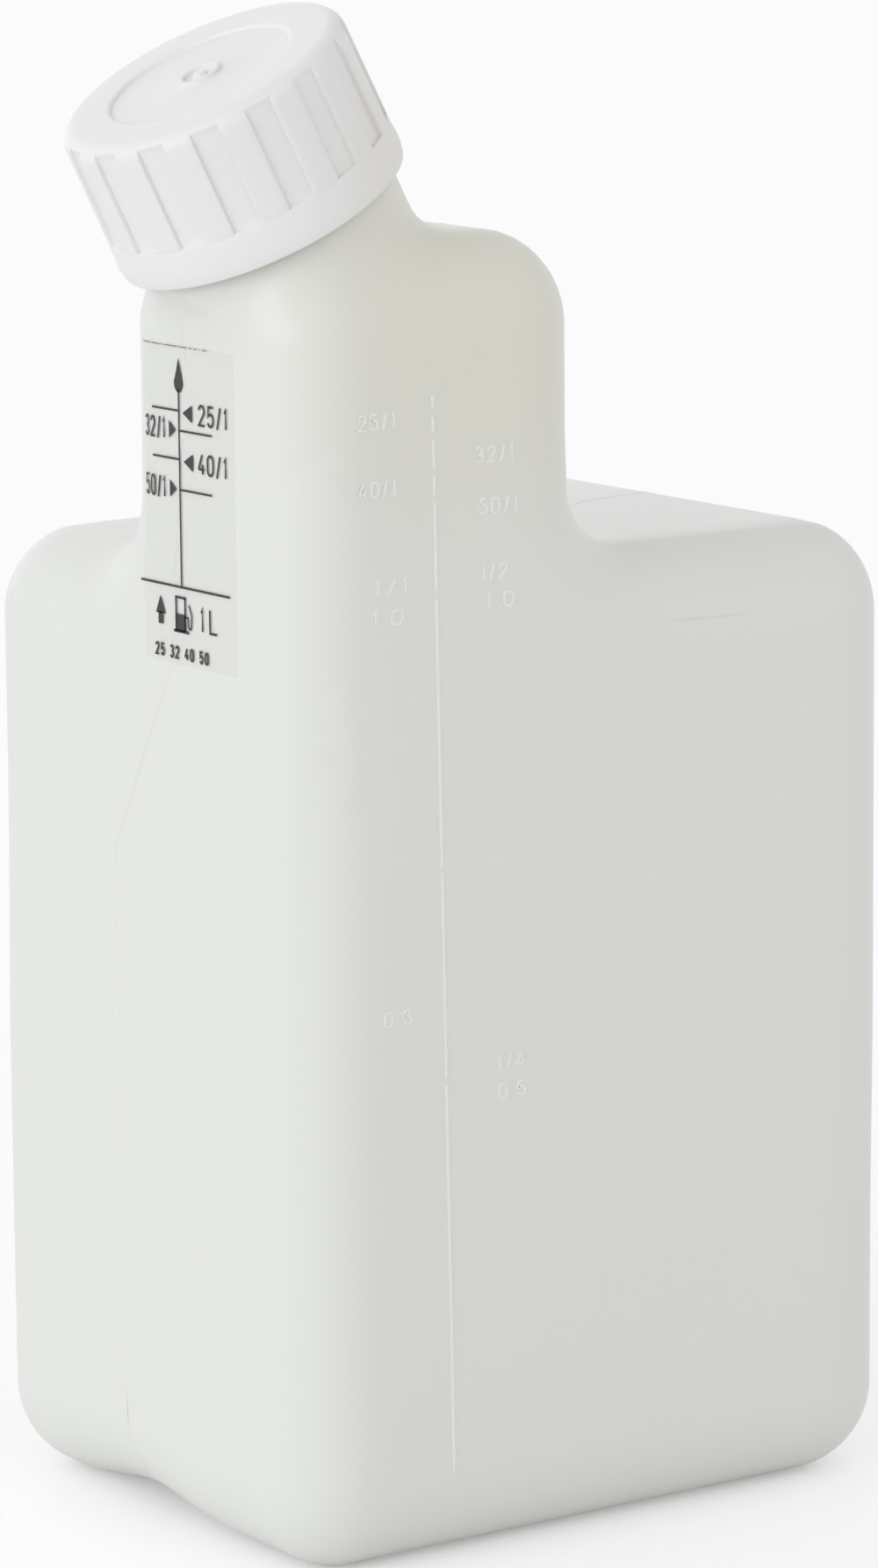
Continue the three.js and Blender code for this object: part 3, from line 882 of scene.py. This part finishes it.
def capPlastic():
    # Painted shade: deep darkens and warms the cap's side away from the key light
    look = {
        "base": (0.855, 0.848, 0.838, 1), "tint": (0.815, 0.808, 0.8, 1), "scale": 60.0,
        "amount": 0.4, "deep": (0.77, 0.745, 0.68, 1), "shadePlace": (-0.013, -0.03, 0.186),
        "shadeFrom": 0.004, "shadeTo": 0.03, "shadeAmount": 0.75, "roughness": 0.42, "gloss": 0.3,
        "ripple": 0.05, "rippleDepth": 0.0005,
    }
    material, nodes, links, toned, shine, out = mouldedPlastic("capPlastic", look)
    shine.inputs["Specular IOR Level"].default_value = look["gloss"]
    links.new(shine.outputs["BSDF"], out.inputs["Surface"])
    return material


def plainMaterial(name, color, roughness):
    material, nodes, links = newMaterial(name)
    shine = nodes.new("ShaderNodeBsdfPrincipled")
    setAll(shine, {"Base Color": color, "Roughness": roughness})
    out = nodes.new("ShaderNodeOutputMaterial")
    links.new(shine.outputs["BSDF"], out.inputs["Surface"])
    return material


def filmMaterial():
    look = {"tone": (0.68, 0.69, 0.66, 1), "cover": 0.045, "roughness": 0.12}
    material, nodes, links = newMaterial("labelFilm")
    clear = nodes.new("ShaderNodeBsdfTransparent")
    shine = nodes.new("ShaderNodeBsdfPrincipled")
    setAll(shine, {"Base Color": look["tone"], "Roughness": look["roughness"]})
    mix = nodes.new("ShaderNodeMixShader")
    mix.inputs["Fac"].default_value = look["cover"]
    out = nodes.new("ShaderNodeOutputMaterial")
    links.new(clear.outputs["BSDF"], mix.inputs[1])
    links.new(shine.outputs["BSDF"], mix.inputs[2])
    links.new(mix.outputs["Shader"], out.inputs["Surface"])
    return material


clouds = cloudGroup()
materials = {
    "bottle": bottlePlastic(),
    "cap": capPlastic(),
    # Painted highlight: the raised marks get a plain plastic of their own, a little lighter than
    # the face, for the light their edges catch
    "marks": plainMaterial("raisedPlasticHighlight", (0.862, 0.867, 0.833, 1), 0.34),
    "liner": plainMaterial("linerFoam", (0.8, 0.8, 0.77, 1), 0.8),
    "film": filmMaterial(),
    "ink": plainMaterial("labelInk", (0.022, 0.02, 0.019, 1), 0.45),
    # Painted shade: dark grey for the strips that stand in for the shadow under the film's lifted
    # edge
    "edge": plainMaterial("labelEdgeShade", (0.2, 0.19, 0.17, 1), 0.5),
}
print("materials")


# Pieces

def attach(piece, material, carrier, slotName, *nodes):
    if not piece.data.materials:
        piece.data.materials.append(material)
    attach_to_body(piece, carrier)
    if nodes:
        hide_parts(*nodes)


attach(makeBottle(), materials["bottle"], "bottle", "bottle_plastic", "bottle")
print("bottle")
attach(makeSeam(), materials["bottle"], "bottle", "bottle_plastic")
# The raised scale is drawn in the lighter plastic of painted highlight
attach(makeMouldedScale(), materials["marks"], "bottle", "bottle_plastic")
print("seam and scale")
attach(makeCapShell(), materials["cap"], "cap", "cap_plastic", "cap")
attach(makeRibs(), materials["cap"], "cap", "cap_plastic")
print("cap")
attach(makeLabelFilm(), materials["film"], "bottle", "label_film", "scale_label")
attach(makeLabelPrint(), materials["ink"], "bottle", "label_film")
# Painted shade along the film's lifted top edge
attach(makeFilmEdgeShade(), materials["edge"], "bottle", "label_film")
print("label")
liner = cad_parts["cap_liner"]
liner.data.materials.clear()
liner.data.materials.append(materials["liner"])


# Stage

def makeFloor():
    look = {"color": (0.9, 0.9, 0.9, 1), "size": 60.0, "lift": 0.26}
    half = look["size"] / 2
    corners = [(-half, -half, 0), (half, -half, 0), (half, half, 0), (-half, half, 0)]
    mesh = bpy.data.meshes.new("floor")
    mesh.from_pydata(corners, [], [(0, 1, 2, 3)])
    floor = bpy.data.objects.new("floor", mesh)
    bpy.context.collection.objects.link(floor)
    material, nodes, links = newMaterial("floor")
    diffuse = nodes.new("ShaderNodeBsdfDiffuse")
    diffuse.inputs["Color"].default_value = look["color"]
    path = nodes.new("ShaderNodeLightPath")
    shown = nodes.new("ShaderNodeMath")
    shown.operation = "MAXIMUM"
    lift = nodes.new("ShaderNodeMath")
    lift.operation = "MULTIPLY"
    lift.inputs[1].default_value = look["lift"]
    glow = nodes.new("ShaderNodeEmission")
    both = nodes.new("ShaderNodeAddShader")
    out = nodes.new("ShaderNodeOutputMaterial")
    links.new(path.outputs["Is Camera Ray"], shown.inputs[0])
    links.new(path.outputs["Is Glossy Ray"], shown.inputs[1])
    links.new(shown.outputs["Value"], lift.inputs[0])
    links.new(lift.outputs["Value"], glow.inputs["Strength"])
    links.new(diffuse.outputs["BSDF"], both.inputs[0])
    links.new(glow.outputs["Emission"], both.inputs[1])
    links.new(both.outputs["Shader"], out.inputs["Surface"])
    mesh.materials.append(material)


# Wide even light that comes from the given direction
def makeSun(name, toward, power, spread, color):
    data = bpy.data.lights.new(name, "SUN")
    data.energy = power
    data.angle = math.radians(spread)
    data.color = color
    lamp = bpy.data.objects.new(name, data)
    bpy.context.collection.objects.link(lamp)
    lamp.rotation_mode = "QUATERNION"
    lamp.rotation_quaternion = Vector(toward).to_track_quat("Z", "Y")


def makeWorld():
    look = {"seen": 1.0, "light": 1.17, "overhead": 0.5, "tint": (0.99, 0.99, 1.0, 1)}
    world = bpy.data.worlds.new("studio")
    bpy.context.scene.world = world
    world.use_nodes = True
    nodes, links = world.node_tree.nodes, world.node_tree.links
    nodes.clear()
    path = nodes.new("ShaderNodeLightPath")
    shown = nodes.new("ShaderNodeMath")
    shown.operation = "MAXIMUM"
    strength = nodes.new("ShaderNodeMix")
    direction = nodes.new("ShaderNodeTexCoord")
    upward = nodes.new("ShaderNodeSeparateXYZ")
    fall = nodes.new("ShaderNodeMapRange")
    setAll(fall, {"To Min": look["light"], "To Max": look["overhead"]})
    strength.inputs["B"].default_value = look["seen"]
    tint = nodes.new("ShaderNodeMix")
    tint.data_type = "RGBA"
    tint.inputs["A"].default_value = look["tint"]
    tint.inputs["B"].default_value = (1, 1, 1, 1)
    sky = nodes.new("ShaderNodeBackground")
    out = nodes.new("ShaderNodeOutputWorld")
    links.new(path.outputs["Is Camera Ray"], shown.inputs[0])
    links.new(path.outputs["Is Glossy Ray"], shown.inputs[1])
    links.new(path.outputs["Is Camera Ray"], tint.inputs["Factor"])
    links.new(tint.outputs["Result"], sky.inputs["Color"])
    links.new(shown.outputs["Value"], strength.inputs["Factor"])
    links.new(strength.outputs["Result"], sky.inputs["Strength"])
    links.new(direction.outputs["Generated"], upward.inputs["Vector"])
    links.new(upward.outputs["Z"], fall.inputs["Value"])
    links.new(fall.outputs["Result"], strength.inputs["A"])
    links.new(sky.outputs["Background"], out.inputs["Surface"])


makeFloor()
makeWorld()
makeSun("key", (-0.97, -0.14, 0.04), 1.36, 50, (0.965, 1, 1.06))
makeSun("rim", (0.25, 0.9, 0.22), 0.24, 50, (0.97, 0.98, 1.05))
bpy.context.scene.view_settings.view_transform = "Standard"
print("stage")
